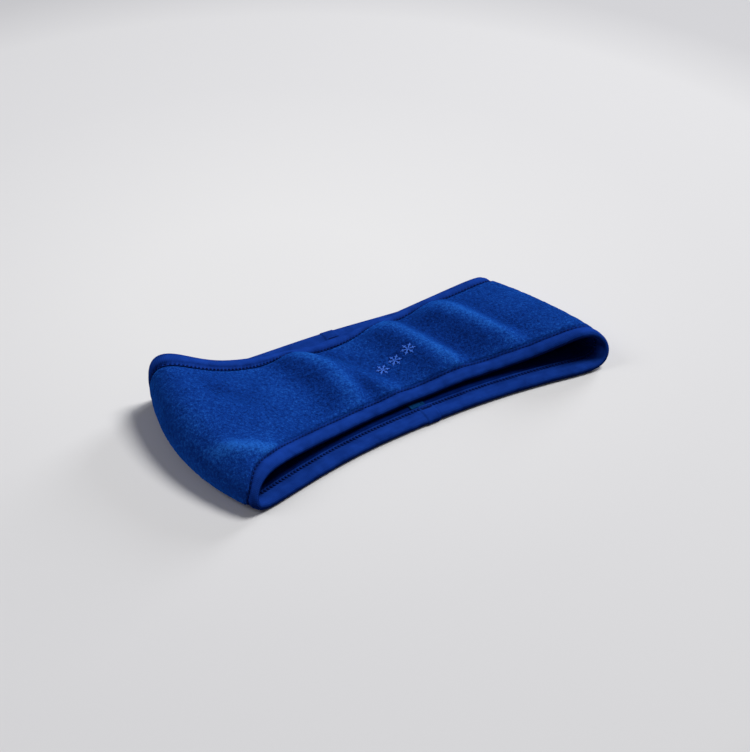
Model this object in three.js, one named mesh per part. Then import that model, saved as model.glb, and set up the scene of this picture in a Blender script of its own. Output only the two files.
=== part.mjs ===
// A fleece headband (ear warmer) lying folded flat on a table, in millimetres, +Z up.
// The band is a closed loop.  Its back half lies flat on the table, its front half lies over it,
// and its two ear parts are the folds at -X and +X.  The origin is below the middle of its box.
import * as THREE from 'three';

// ---- driving dimensions ---------------------------------------------------------------------
const FLEECE_OUT = 2.85;      // outer face of the fleece, from the band's middle surface
const FLEECE_PRESSED = 2.05;  // the same face where the binding presses it down
const FLEECE_IN = 0.45;       // inner face of the fleece
const LINING_OUT = -0.45;
const LINING_IN = -1.25;
const BINDING_THICK = 0.5;
const BINDING_WIDTH = 9.5;    // each leg of the folded binding, from the band's edge
const BINDING_IN = -2.05;     // inner face of the binding's inner leg
const EDGE_ROLL = 2.2;        // how far the binding's fold reaches past the band's edge
const STITCH_GAP = 0.3;       // clearance between neighbouring pieces
const ROLL_ANGLE = 40;        // degrees between the points along the fold's curve
const EDGE_INSET = 0.6;       // the fleece and the lining stop this short of the band's edge
const THREAD_RADIUS = 0.25;
const THREAD_SUNK = 0.1;      // the outer topstitch lies this far below the binding's face
const CHANNEL = BINDING_WIDTH + 2 * STITCH_GAP + 2 * THREAD_RADIUS;  // where the fleece rises again
const TAPE_WIDTH = 9;
const TAPE_THICK = 0.3;
const TAPE_THREAD_RADIUS = 0.15;
const TAPE_THREAD_GAP = 0.1;
const TAPE_THREAD_INSET = 1.6;
const TAPE_THREAD_SHORT = 2;  // the tape's stitches are this much shorter than the tape
const TACK = { length: 7, width: 1.6, thick: 0.35 };
const LABEL = { width: 14, length: 24, thick: 0.35, x: 16, cell: 1.6 };
const SEAM_X = 4;             // the centre-back seam, from the loop's first slice towards +X
const FLAKE = { radius: 4.3, waist: 1.1, thick: 0.45, arms: 6, pitch: 10.4, lift: 0.45 };
const BACKING_THICK = 0.3;
const BACKING_MARGIN = 1;     // round the embroidery at the least, out to whole cells

// ---- the band's middle surface --------------------------------------------------------------
// Control points of three rails round the loop, one row for each place: [x, y, z] on the near
// edge, half way across, and on the far edge.  It starts at the centre back, goes to -X along
// the table, round the left ear, over the forehead to +X, and back round the right ear.
const REST = FLEECE_OUT;      // height of the middle surface where the band lies on the table
const RAILS = [
  [[0, -38.4, REST], [0, 13, REST], [0, 65, REST]],
  [[-40, -39.4, REST], [-45, 13, REST], [-42, 66, REST]],
  [[-78, -45.6, REST], [-86, 11, REST], [-82, 68, REST]],
  [[-100, -50, REST], [-113, 8, REST], [-104, 67, REST]],
  [[-114, -52.3, REST], [-129.5, 5, REST], [-116, 65, REST]],
  [[-117.2, -51.3, 10], [-132.5, 5, 15], [-120.6, 64, 17.8]],
  [[-111, -46.8, 18.5], [-125, 5, 27], [-118.6, 62, 34]],
  [[-98, -41, 18.5], [-111, 6, 27.5], [-105, 58, 32]],
  [[-80, -34, 14.2], [-85, 8, 20], [-84, 51.5, 19.5]],
  [[-50, -27.9, 10.4], [-50, 10, 13], [-48, 48.5, 13]],
  [[-18, -24.8, 8.7], [-18, 11, 10.5], [-14, 46, 10]],
  [[14, -25.3, 8.7], [14, 12, 10.5], [16, 47, 10]],
  [[46, -24.9, 9.4], [46, 12, 11.5], [48, 48.5, 11]],
  [[78, -30.3, 11.4], [78, 10, 14.5], [77, 48.8, 13]],
  [[102, -37.2, 18.2], [101, 4, 18], [95, 48.6, 14.5]],
  [[120, -42.5, 24], [118.5, 2, 18], [106, 50, 13]],
  [[128, -49, 14], [124, 1, 10.5], [111, 53.5, 8]],
  [[124, -51, REST], [119.5, 2, REST], [108, 54.5, REST]],
  [[107, -49.2, REST], [106, 4, REST], [96, 55.5, REST]],
  [[82, -43.9, REST], [82, 8, REST], [78, 56.5, REST]],
  [[42, -38.9, REST], [44, 12, REST], [44, 59, REST]],
];
const TO_ORIGIN = [2.44, -7.85, 0];  // puts the middle of the finished box over the origin

// Soft folds across the front.  Each crest runs along x = at + lean*y + bend*y*y, from y = near to
// y = far.  It rises gently on its -X side and falls more steeply on its +X side.
const FOLDS = [
  { at: -30.5, lean: 0, bend: -0.0065, height: 5, rise: 12, fall: 6, near: -24, far: 52 },
  { at: -12.8, lean: -0.45, bend: 0, height: 2.2, rise: 5, fall: 4.5, near: -30, far: 38 },
  { at: 36.8, lean: -0.25, bend: 0, height: 5.2, rise: 15, fall: 6, near: -30, far: 52 },
  { at: 77.6, lean: -0.28, bend: 0, height: 4.2, rise: 12, fall: 7, near: -30, far: 50 },
];
const FOLD_EASE = 22;
const FRONT = { from: 6, to: 15.5, ease: 1.5 };  // the folds fade in and out between these rows

// The half on the table swells up a little behind its near edge.  It rises, ends and falls by
// these parts of the band's width, and fades out this many rows from the centre back.
const SWELL = { height: 1.7, rise: 0.13, end: 0.365, fall: 0.2, rows: 4, ease: 1.5 };

const STEPS_PER_ROW = 4;
const STEPS_ROUND = RAILS.length * STEPS_PER_ROW;
const CELLS_ACROSS = 6;       // fleece cells between the two channels
const SLICES = 40;            // samples across the band when its width is measured
const SMALL_STEP = 1e-3;      // in rows and in parts of the width, where a slope is measured

function railPoint(rail, u) {
  const count = RAILS.length;
  const row = Math.floor(u);
  const f = u - row;
  const weights = [
    (1 - f) ** 3 / 6,
    (3 * f ** 3 - 6 * f ** 2 + 4) / 6,
    (-3 * f ** 3 + 3 * f ** 2 + 3 * f + 1) / 6,
    f ** 3 / 6,
  ];
  const point = new THREE.Vector3();
  weights.forEach((weight, k) => {
    const control = RAILS[(row + k - 1 + count) % count][rail];
    point.addScaledVector(new THREE.Vector3(...control), weight);
  });
  return point;
}

function smooth(t) {
  const s = Math.min(1, Math.max(0, t));
  return s * s * (3 - 2 * s);
}

function foldHeight(x, y) {
  let total = 0;
  for (const fold of FOLDS) {
    const past = x - (fold.at + fold.lean * y + fold.bend * y * y);
    const t = past / (past < 0 ? fold.rise : fold.fall);
    const fade = smooth((y - fold.near) / FOLD_EASE) * smooth((fold.far - y) / FOLD_EASE);
    total += fold.height * fade * Math.exp(-t * t / 2);
  }
  return total;
}

function swellHeight(u, v) {
  const fromBack = Math.min(u, RAILS.length - u);
  const back = smooth((SWELL.rows - fromBack) / SWELL.ease);
  return SWELL.height * back * smooth(v / SWELL.rise) * smooth((SWELL.end - v) / SWELL.fall);
}

// u counts rows round the loop, v runs from 0 at the near edge to 1 at the far edge.
function middle(turn, v) {
  const u = (turn + RAILS.length) % RAILS.length;
  const point = new THREE.Vector3();
  point.addScaledVector(railPoint(0, u), 2 * (v - 0.5) * (v - 1));
  point.addScaledVector(railPoint(1, u), 4 * v * (1 - v));
  point.addScaledVector(railPoint(2, u), 2 * v * (v - 0.5));
  const front = smooth((u - FRONT.from) / FRONT.ease) * smooth((FRONT.to - u) / FRONT.ease);
  point.z += swellHeight(u, v) + front * foldHeight(point.x, point.y);
  return point;
}

function outward(u, v) {
  const h = SMALL_STEP;
  const round = middle(u + h, v).sub(middle(u - h, v));
  const across = middle(u, v + h).sub(middle(u, v - h));
  return round.cross(across).normalize();
}

// One slice across the band at u, with its length measured, so that a distance can be placed.
function slice(u) {
  const lengths = [0];
  let last = middle(u, 0);
  for (let i = 1; i <= SLICES; i += 1) {
    const next = middle(u, i / SLICES);
    lengths.push(lengths[i - 1] + next.distanceTo(last));
    last = next;
  }
  const width = lengths[SLICES];
  const toV = (distance) => {
    const i = lengths.findIndex((length) => length >= distance);
    return (i - 1 + (distance - lengths[i - 1]) / (lengths[i] - lengths[i - 1])) / SLICES;
  };
  const at = (v) => ({ point: middle(u, v), normal: outward(u, v) });
  const nearZone = [at(0), at(toV(CHANNEL))];
  const farZone = [at(1), at(toV(width - CHANNEL))];
  // Under its bindings, and past its edges, the band is straight across.
  const inZone = ([edge, inner], t) => ({
    point: edge.point.clone().lerp(inner.point, t),
    normal: edge.normal.clone().lerp(inner.normal, Math.max(0, t)).normalize(),
  });
  const place = (distance, offset) => {
    let spot;
    if (distance < CHANNEL) spot = inZone(nearZone, distance / CHANNEL);
    else if (distance > width - CHANNEL) spot = inZone(farZone, (width - distance) / CHANNEL);
    else spot = at(toV(distance));
    return spot.point.addScaledVector(spot.normal, offset).add(new THREE.Vector3(...TO_ORIGIN));
  };
  return { width, place };
}

const SLICE = Array.from({ length: STEPS_ROUND }, (_, i) => slice(i / STEPS_PER_ROW));

// ---- mesh building --------------------------------------------------------------------------
// Rings of points become one closed body.  A loop joins its last ring to its first, and an open
// strip gets a cap at each end, which runs between the two halves of its ring.  The four-sided
// cell after point k is split from this ring's k where rising[k] is true, and otherwise to it.
function bodyOf(rings, loop, rising) {
  const size = rings[0].length;
  const index = [];
  const spans = loop ? rings.length : rings.length - 1;
  for (let i = 0; i < spans; i += 1) {
    const here = i * size;
    const next = ((i + 1) % rings.length) * size;
    for (let k = 0; k < size; k += 1) {
      const m = (k + 1) % size;
      const corners = [here + k, next + k, next + m, here + m];
      const [a, b, c, d] = rising[k] ? corners : [...corners.slice(1), corners[0]];
      index.push(a, b, c, a, c, d);
    }
  }
  const end = (rings.length - 1) * size;
  for (let k = 0; !loop && k + 1 < size / 2; k += 1) {
    const [a, b, c, d] = [k, k + 1, size - 2 - k, size - 1 - k];
    index.push(a, b, c, a, c, d);
    index.push(end + a, end + c, end + b, end + a, end + d, end + c);
  }
  return solid(rings.flat(), index);
}

function solid(points, index) {
  const positions = points.flatMap((point) => [point.x, point.y, point.z]);
  const geometry = new THREE.BufferGeometry();
  geometry.setAttribute('position', new THREE.Float32BufferAttribute(positions, 3));
  geometry.setIndex(index);
  return outsideOut(geometry);
}

// Turns the faces over where the signed volume comes out negative.
function outsideOut(geometry) {
  const position = geometry.getAttribute('position');
  const index = geometry.getIndex().array;
  const corner = (i) => new THREE.Vector3().fromBufferAttribute(position, index[i]);
  let volume = 0;
  for (let i = 0; i < index.length; i += 3) {
    volume += corner(i).dot(corner(i + 1).cross(corner(i + 2)));
  }
  if (volume < 0) {
    for (let i = 0; i < index.length; i += 3) {
      [index[i + 1], index[i + 2]] = [index[i + 2], index[i + 1]];
    }
  }
  geometry.computeVertexNormals();
  return geometry;
}

// A profile is a function of the slice's width that lists [distance from the near edge, offset].
// Cells split the same way on every layer, so that layers lying over each other stay apart.
function loopOf(profile) {
  const spots = profile(SLICE[0].width);
  const rising = spots.map(([distance], k) => distance < spots[(k + 1) % spots.length][0]);
  const rings = SLICE.map(({ width, place }) => profile(width).map(([d, o]) => place(d, o)));
  return bodyOf(rings, true, rising);
}

function across(width) {
  const inner = width - 2 * CHANNEL;
  return Array.from({ length: CELLS_ACROSS + 1 }, (_, k) => CHANNEL + inner * k / CELLS_ACROSS);
}

// ---- the fabric layers ----------------------------------------------------------------------
function outerFleece() {
  return loopOf((width) => [
    [EDGE_INSET, FLEECE_PRESSED],
    [BINDING_WIDTH, FLEECE_PRESSED],
    [CHANNEL, FLEECE_PRESSED],
    ...across(width).map((d) => [d, FLEECE_OUT]),
    [width - CHANNEL, FLEECE_PRESSED],
    [width - BINDING_WIDTH, FLEECE_PRESSED],
    [width - EDGE_INSET, FLEECE_PRESSED],
    [width - EDGE_INSET, FLEECE_IN],
    ...across(width).reverse().map((d) => [d, FLEECE_IN]),
    [EDGE_INSET, FLEECE_IN],
  ]);
}

function lining() {
  return loopOf((width) => [
    [EDGE_INSET, LINING_OUT],
    ...across(width).map((d) => [d, LINING_OUT]),
    [width - EDGE_INSET, LINING_OUT],
    [width - EDGE_INSET, LINING_IN],
    [width - BINDING_WIDTH, LINING_IN],
    ...across(width).reverse().map((d) => [d, LINING_IN]),
    [BINDING_WIDTH, LINING_IN],
    [EDGE_INSET, LINING_IN],
  ]);
}

// ---- the bindings, folded over both edges ---------------------------------------------------
function binding(side) {
  const centre = (FLEECE_OUT + BINDING_IN) / 2;
  const half = (FLEECE_OUT - BINDING_IN) / 2;
  const roll = (reach, radius) => [ROLL_ANGLE, 0, -ROLL_ANGLE].map((degrees) => {
    const angle = THREE.MathUtils.degToRad(degrees);
    return [-reach * Math.cos(angle), centre + radius * Math.sin(angle)];
  });
  const outside = [[BINDING_WIDTH, FLEECE_OUT], [0, FLEECE_OUT], ...roll(EDGE_ROLL, half),
    [0, BINDING_IN], [BINDING_WIDTH, BINDING_IN]];
  const inside = [[BINDING_WIDTH, FLEECE_OUT - BINDING_THICK], [0, FLEECE_OUT - BINDING_THICK],
    ...roll(EDGE_ROLL - BINDING_THICK, half - BINDING_THICK),
    [0, BINDING_IN + BINDING_THICK], [BINDING_WIDTH, BINDING_IN + BINDING_THICK]].reverse();
  const profile = [...outside, ...inside];
  return loopOf((width) => profile.map(([d, o]) => [side === 'near' ? d : width - d, o]));
}

// ---- threads --------------------------------------------------------------------------------
// Each row of binding stitches lies in the channel beside the binding's edge.
function bindingStitch(side, face) {
  const distance = BINDING_WIDTH + STITCH_GAP + THREAD_RADIUS;
  const offset = face === 'outer' ? FLEECE_OUT - THREAD_SUNK - THREAD_RADIUS
    : BINDING_IN + THREAD_RADIUS;
  const diamond = [[1, 0], [0, 1], [-1, 0], [0, -1]];
  return loopOf((width) => diamond.map(([a, b]) => {
    const d = distance + a * THREAD_RADIUS;
    return [side === 'near' ? d : width - d, offset + b * THREAD_RADIUS];
  }));
}

// ---- pieces that lie on the facets of the layers --------------------------------------------
// Places are given as a step i round the loop and a cell k across it, and both may be between.
function between(i, spot) {
  const a = Math.floor(i);
  const at = (n) => spot(SLICE[(n + STEPS_ROUND) % STEPS_ROUND]);
  return at(a).lerp(at(a + 1), i - a);
}

function onFacets(i, k, offset) {
  const b = Math.floor(k);
  return between(i, ({ width, place }) => {
    const spots = across(width);
    return place(spots[b], offset).lerp(place(spots[b + 1], offset), k - b);
  });
}

function stepLength(i, k) {
  return onFacets(i, k, 0).distanceTo(onFacets(i + 1, k, 0));
}

function cellLength(i, k) {
  return onFacets(i, k, 0).distanceTo(onFacets(i, k + 1, 0));
}

function stopsBetween(from, to) {
  const stops = [from];
  for (let n = Math.floor(from) + 1; n < to; n += 1) stops.push(n);
  return [...stops, to];
}

// A sheet from one offset to another, over a range of steps and of cells.
function patch([stepFrom, stepTo], [cellFrom, cellTo], low, high) {
  const steps = stopsBetween(stepFrom, stepTo);
  const rings = stopsBetween(cellFrom, cellTo).map((k) => [
    ...steps.map((i) => onFacets(i, k, low)),
    ...steps.slice().reverse().map((i) => onFacets(i, k, high)),
  ]);
  return bodyOf(rings, false, rings[0].map((_, p) => p < steps.length));
}

// ---- the centre-back seam, on the inside of the half that lies on the table -----------------
const BACK_STEP = stepLength(0, CELLS_ACROSS / 2);
const BACK_CELL = cellLength(0, CELLS_ACROSS / 2);
const SEAM_STEP = -SEAM_X / BACK_STEP;
const SEAM_CELLS = [STITCH_GAP / BACK_CELL, CELLS_ACROSS - STITCH_GAP / BACK_CELL];
const ON_LINING = LINING_IN - STITCH_GAP;
const ON_TAPE = ON_LINING - TAPE_THICK - TAPE_THREAD_GAP;

function stepsOver(centre, width) {
  return [centre - width / 2 / BACK_STEP, centre + width / 2 / BACK_STEP];
}

function seamTape() {
  const steps = stepsOver(SEAM_STEP, TAPE_WIDTH);
  return patch(steps, SEAM_CELLS, ON_LINING, ON_LINING - TAPE_THICK);
}

function seamStitch(side) {
  const centre = SEAM_STEP - side * (TAPE_WIDTH / 2 - TAPE_THREAD_INSET) / BACK_STEP;
  const half = TAPE_THREAD_RADIUS;
  const short = TAPE_THREAD_SHORT / BACK_CELL;
  const cells = [SEAM_CELLS[0] + short, SEAM_CELLS[1] - short];
  return patch(stepsOver(centre, 2 * half), cells, ON_TAPE, ON_TAPE - 2 * half);
}

// The binding's two ends lap over each other here, under one short bar of stitches.
function bindingTack(side) {
  const half = TACK.width / 2;
  const middleAt = BINDING_WIDTH - TACK.width;
  const bottom = BINDING_IN - STITCH_GAP;
  const corners = [[-half, bottom], [half, bottom], [half, bottom - TACK.thick],
    [-half, bottom - TACK.thick]];
  const rings = stopsBetween(...stepsOver(SEAM_STEP, TACK.length)).map((i) => (
    corners.map(([d, offset]) => between(i, ({ width, place }) => (
      place(side === 'near' ? middleAt + d : width - middleAt - d, offset)
    )))
  ));
  return bodyOf(rings, false, corners.map(() => true));
}

function careLabel() {
  const steps = stepsOver(SEAM_STEP - LABEL.x / BACK_STEP, LABEL.width);
  const cells = [LABEL.cell, LABEL.cell + LABEL.length / BACK_CELL];
  return patch(steps, cells, ON_LINING, ON_LINING - LABEL.thick);
}

// ---- the embroidery on the forehead ---------------------------------------------------------
// The middle of the row of snowflakes, and how far the row turns from the loop's own direction.
const MOTIF = { step: 43.74, cell: 2.57, turn: THREE.MathUtils.degToRad(13) };
const MOTIF_STEP = stepLength(MOTIF.step, MOTIF.cell);
const MOTIF_CELL = cellLength(MOTIF.step, MOTIF.cell);

function snowflake(place) {
  const bottom = FLEECE_OUT + FLAKE.lift;
  const [cos, sin] = [Math.cos(MOTIF.turn), Math.sin(MOTIF.turn)];
  const rings = [bottom, bottom + FLAKE.thick].map((offset) => (
    Array.from({ length: 2 * FLAKE.arms }, (_, n) => {
      const radius = n % 2 === 0 ? FLAKE.radius : FLAKE.waist;
      const angle = Math.PI * n / FLAKE.arms;
      const along = place * FLAKE.pitch + radius * Math.sin(angle);
      const up = radius * Math.cos(angle);
      const i = MOTIF.step + (along * cos - up * sin) / MOTIF_STEP;
      const k = MOTIF.cell + (along * sin + up * cos) / MOTIF_CELL;
      return onFacets(i, k, offset);
    })
  ));
  return starSolid(rings);
}

// A star is not convex, so each of its caps fans out from a point in its middle.
function starSolid([lower, upper]) {
  const size = lower.length;
  const middleOf = (ring) => ring.reduce((sum, point) => sum.add(point), new THREE.Vector3())
    .divideScalar(size);
  const points = [...lower, ...upper, middleOf(lower), middleOf(upper)];
  const index = [];
  for (let k = 0; k < size; k += 1) {
    const m = (k + 1) % size;
    index.push(k, size + k, size + m, k, size + m, m);
    index.push(2 * size, k, m);
    index.push(2 * size + 1, size + m, size + k);
  }
  return solid(points, index);
}

// The stiff backing lies between the fleece and the lining.
function embroideryBacking() {
  const reach = (1.5 * FLAKE.pitch + BACKING_MARGIN) / MOTIF_STEP;
  const rise = (FLAKE.radius + BACKING_MARGIN) / MOTIF_CELL;
  const steps = [Math.floor(MOTIF.step - reach), Math.ceil(MOTIF.step + reach)];
  const cells = [Math.floor(MOTIF.cell - rise), Math.ceil(MOTIF.cell + rise)];
  return patch(steps, cells, BACKING_THICK / 2, -BACKING_THICK / 2);
}

// ---- the assembly ---------------------------------------------------------------------------
const FLEECE = { color: 0x0f3f96, roughness: 0.95 };
const SMOOTH_KNIT = { color: 0x0c2f74, roughness: 0.75 };
const BINDING_KNIT = { color: 0x123c8c, roughness: 0.6 };
const THREAD = { color: 0x0b2a66, roughness: 0.5 };
const PALE_THREAD = { color: 0x5d7fc4, roughness: 0.45 };
const BACKING = { color: 0xe6e6e2, roughness: 0.9 };
const LABEL_SATIN = { color: 0x2f5fa8, roughness: 0.5 };

const headband = new THREE.Group();
function add(name, geometry, look) {
  const mesh = new THREE.Mesh(geometry, new THREE.MeshStandardMaterial({ metalness: 0, ...look }));
  mesh.name = name;
  headband.add(mesh);
}

add('outer_fleece', outerFleece(), FLEECE);
add('lining', lining(), SMOOTH_KNIT);
for (const side of ['near', 'far']) {
  add(`${side}_edge_binding`, binding(side), BINDING_KNIT);
  add(`${side}_outer_topstitch`, bindingStitch(side, 'outer'), THREAD);
  add(`${side}_inner_topstitch`, bindingStitch(side, 'inner'), THREAD);
}
add('back_seam_tape', seamTape(), BINDING_KNIT);
add('back_seam_stitch_left', seamStitch(-1), THREAD);
add('back_seam_stitch_right', seamStitch(1), THREAD);
add('near_binding_tack', bindingTack('near'), THREAD);
add('far_binding_tack', bindingTack('far'), THREAD);
add('care_label', careLabel(), LABEL_SATIN);
add('embroidery_backing', embroideryBacking(), BACKING);
add('snowflake_left', snowflake(-1), PALE_THREAD);
add('snowflake_middle', snowflake(0), PALE_THREAD);
add('snowflake_right', snowflake(1), PALE_THREAD);

export default headband;
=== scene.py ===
"""A royal-blue fleece headband lying folded flat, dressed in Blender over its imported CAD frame."""
import math

import bpy
import numpy as np
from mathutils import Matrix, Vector


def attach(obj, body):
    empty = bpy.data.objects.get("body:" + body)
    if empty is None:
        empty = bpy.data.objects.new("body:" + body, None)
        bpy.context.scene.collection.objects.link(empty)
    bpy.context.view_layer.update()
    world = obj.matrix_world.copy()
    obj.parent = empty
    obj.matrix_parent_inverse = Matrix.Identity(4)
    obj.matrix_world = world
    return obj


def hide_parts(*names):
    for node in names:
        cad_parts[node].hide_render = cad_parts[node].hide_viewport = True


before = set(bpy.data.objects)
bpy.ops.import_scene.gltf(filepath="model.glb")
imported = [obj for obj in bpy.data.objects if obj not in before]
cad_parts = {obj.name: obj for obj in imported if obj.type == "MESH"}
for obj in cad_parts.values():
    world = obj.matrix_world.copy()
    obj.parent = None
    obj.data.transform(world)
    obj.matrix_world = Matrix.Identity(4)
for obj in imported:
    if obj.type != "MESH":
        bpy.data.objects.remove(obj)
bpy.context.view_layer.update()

MM = 0.001                 # metres in a millimetre
CM_PER_MM = 0.1            # the cloth's UV units are centimetres


# ---- camera -----------------------------------------------------------------------------------
CAMERA_AZIMUTH = math.radians(-33.0)
CAMERA_ELEVATION = math.radians(37.0)
CAMERA_DISTANCE = 0.920
CAMERA_LENS = 73.5
AIM = Vector((0.00632, 0.00823, 0.0))      # the point on the table that the camera looks at


def add_camera():
    back = Vector((
        math.sin(CAMERA_AZIMUTH) * math.cos(CAMERA_ELEVATION),
        -math.cos(CAMERA_AZIMUTH) * math.cos(CAMERA_ELEVATION),
        math.sin(CAMERA_ELEVATION),
    ))
    data = bpy.data.cameras.new("camera")
    data.lens = CAMERA_LENS
    data.sensor_width = 36.0
    data.clip_start = 0.01
    data.clip_end = 60.0
    camera = bpy.data.objects.new("camera", data)
    camera.location = AIM + back * CAMERA_DISTANCE
    camera.rotation_euler = (-back).to_track_quat("-Z", "Y").to_euler()
    bpy.context.scene.collection.objects.link(camera)
    bpy.context.scene.camera = camera


add_camera()


# ---- the band's middle surface, in millimetres ------------------------------------------------
REST = 2.85        # height of the middle surface where the band lies on the table
TO_ORIGIN = np.array([2.44, -7.85, 0.0])

# Control points of three rails round the loop: near edge, half way across, far edge. The rows
# start at the centre back, go to -X along the table, round the left ear, over the forehead to
# +X, and back round the right ear.
RAILS = np.array([
    [[0, -38.0, REST], [0, 13, REST], [0, 65, REST]],
    [[-40, -38.9, REST], [-45, 13, REST], [-42, 66, REST]],
    [[-78, -45.0, REST], [-86, 11, REST], [-82, 68, REST]],
    [[-100, -50, REST], [-113, 8, REST], [-104, 67, REST]],
    [[-114, -52.3, REST], [-129, 5, REST], [-115.4, 65, REST]],
    [[-117.2, -51.3, 10], [-131.4, 5, 15], [-119.2, 63.6, 17.8]],
    [[-111, -46.8, 18.5], [-124, 5, 27], [-117.2, 61.6, 33.8]],
    [[-98, -41, 18.5], [-111, 6, 27.5], [-105, 58, 32]],
    [[-80, -34, 14.2], [-85, 8, 20], [-84, 51.5, 19.5]],
    [[-50, -27.9, 10.4], [-50, 10, 13], [-48, 48.5, 13]],
    [[-18, -24.0, 8.9], [-18, 11, 10.5], [-14, 46, 10]],
    [[14, -24.5, 8.9], [14, 12, 10.5], [16, 47, 10]],
    [[46, -24.9, 9.4], [46, 12, 11.5], [48, 48.5, 11]],
    [[78, -30.3, 11.4], [78, 10, 14.5], [77, 48.8, 13]],
    [[102, -37.2, 18.2], [101, 4, 18], [95, 48.6, 14.5]],
    [[120, -42.5, 24], [118.5, 2, 18], [106, 50, 13]],
    [[128, -49, 14], [124, 1, 10.5], [111, 53.5, 8]],
    [[124, -51, REST], [119.5, 2, REST], [108, 54.5, REST]],
    [[107, -49.2, REST], [106, 4, REST], [96, 55.5, REST]],
    [[82, -43.9, REST], [82, 8, REST], [78, 56.5, REST]],
    [[42, -38.9, REST], [44, 12, REST], [44, 59, REST]],
], float)
ROWS = len(RAILS)

# Soft folds across the front. Each crest runs along x = at + lean*y + bend*y*y from y = near to
# y = far. It rises gently on its -X side and falls more steeply on its +X side.
FOLDS = [
    dict(at=-28.5, lean=0, bend=-0.0065, height=7, rise=11, fall=5.5, near=-24, far=52),
    dict(at=-12.8, lean=-0.45, bend=0, height=3.2, rise=5, fall=4.5, near=-30, far=38),
    dict(at=34.0, lean=-0.25, bend=0, height=7, rise=13, fall=5.5, near=-30, far=52),
    dict(at=72.6, lean=-0.28, bend=0, height=6.4, rise=11, fall=5.6, near=-30, far=50),
]
FOLD_EASE = 22.0

# Painted light and shade on the folds: the fleece's colour is lighter along each crest, a painted
# highlight, and darker in the hollows beside it, painted shade.
PAINTED_CREST_HALF = 8.0           # half the width of a crest's painted highlight band
PAINTED_CREST_SHIFT = 1.0          # how far the band lies to the +X side of its crest
PAINTED_HOLLOW_SHADE = 1.25         # how dark the painted shade in the hollows beside the band is
PAINTED_FULL_FOLD = 7.0           # a fold this high has the full effect

# The half on the table swells up a little behind its near edge.
SWELL = 1.7
SWELL_RISE, SWELL_END, SWELL_FALL = 0.13, 0.365, 0.2    # in parts of the band's width
SWELL_ROWS, SWELL_EASE = 4.0, 1.5
FRONT_FROM, FRONT_TO, FRONT_EASE = 6.0, 15.5, 1.5    # in rows


def smooth(t):
    s = np.clip(t, 0.0, 1.0)
    return s * s * (3 - 2 * s)


def bell(distance, half):
    return np.exp(-(distance / half) ** 2)


def front_share(turn):
    """1 on the front half and 0 on the back half, at rows round the loop."""
    return smooth((turn - FRONT_FROM) / FRONT_EASE) * smooth((FRONT_TO - turn) / FRONT_EASE)


def rail(which, u):
    """Points of one rail at u, which counts rows round the loop."""
    row = np.floor(u).astype(int)
    f = (u - row)[..., None]
    weights = (
        (1 - f) ** 3 / 6,
        (3 * f ** 3 - 6 * f ** 2 + 4) / 6,
        (-3 * f ** 3 + 3 * f ** 2 + 3 * f + 1) / 6,
        f ** 3 / 6,
    )
    return sum(w * RAILS[(row + k - 1) % ROWS, which] for k, w in enumerate(weights))


def beside_fold(fold, x, y):
    """The distance from a fold's crest towards +X, and the fold's share of its full height."""
    aside = x - (fold["at"] + fold["lean"] * y + fold["bend"] * y * y)
    fade = smooth((y - fold["near"]) / FOLD_EASE) * smooth((fold["far"] - y) / FOLD_EASE)
    return aside, fade


def fold_height(x, y):
    total = np.zeros(x.shape)
    for fold in FOLDS:
        aside, fade = beside_fold(fold, x, y)
        t = aside / np.where(aside < 0, fold["rise"], fold["fall"])
        total += fold["height"] * fade * np.exp(-t * t / 2)
    return total


def painted_fold_light(x, y):
    """Painted light on a crest, up to 1, and painted shade in a hollow beside it, below 0."""
    total = np.zeros(x.shape)
    for fold in FOLDS:
        aside, fade = beside_fold(fold, x, y)
        t = (aside - PAINTED_CREST_SHIFT) / PAINTED_CREST_HALF
        total += fold["height"] / PAINTED_FULL_FOLD * fade * (1 - PAINTED_HOLLOW_SHADE * t * t) * np.exp(-t * t / 2)
    return total


# Small wrinkles of the left end, each a crest from one plan point to another. The last two
# numbers are its height and its half width.
WRINKLES = [
    ((-136, -15), (-84, -37), 2.6, 5.5),
    ((-104, 30), (-78, 6), -1.2, 7.0),
]
WRINKLE_PAST, WRINKLE_EASE = 0.1, 0.35    # how a wrinkle runs out, in parts of its length
TOP_FROM, TOP_RISE, TOP_TO, TOP_FALL = 5.6, 0.8, 9.5, 1.0     # the rows that have wrinkles
TOP_EDGE = 0.16           # they fade out over this part of the width at each edge


def wrinkle_height(x, y):
    total = np.zeros(x.shape)
    for (x0, y0), (x1, y1), height, half in WRINKLES:
        dx, dy = x1 - x0, y1 - y0
        length = math.hypot(dx, dy)
        along = ((x - x0) * dx + (y - y0) * dy) / length ** 2
        aside = ((x - x0) * dy - (y - y0) * dx) / length
        fade = smooth((along + WRINKLE_PAST) / WRINKLE_EASE)
        fade *= smooth((1 + WRINKLE_PAST - along) / WRINKLE_EASE)
        total += height * fade * bell(aside, half)
    return total


def middle(u, v):
    """The middle surface. u counts rows, v runs from 0 at the near edge to 1 at the far one."""
    u, v = np.broadcast_arrays(u, v)
    t = v[..., None]
    points = (
        rail(0, u) * (2 * (t - 0.5) * (t - 1))
        + rail(1, u) * (4 * t * (1 - t))
        + rail(2, u) * (2 * t * (t - 0.5))
    )
    turn = u % ROWS
    back = smooth((SWELL_ROWS - np.minimum(turn, ROWS - turn)) / SWELL_EASE)
    points[..., 2] += SWELL * back * smooth(v / SWELL_RISE) * smooth((SWELL_END - v) / SWELL_FALL)
    points[..., 2] += front_share(turn) * fold_height(points[..., 0], points[..., 1])
    top = smooth((turn - TOP_FROM) / TOP_RISE) * smooth((TOP_TO - turn) / TOP_FALL)
    away = smooth(v / TOP_EDGE) * smooth((1 - v) / TOP_EDGE)
    points[..., 2] += top * away * wrinkle_height(points[..., 0], points[..., 1])
    return points


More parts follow.
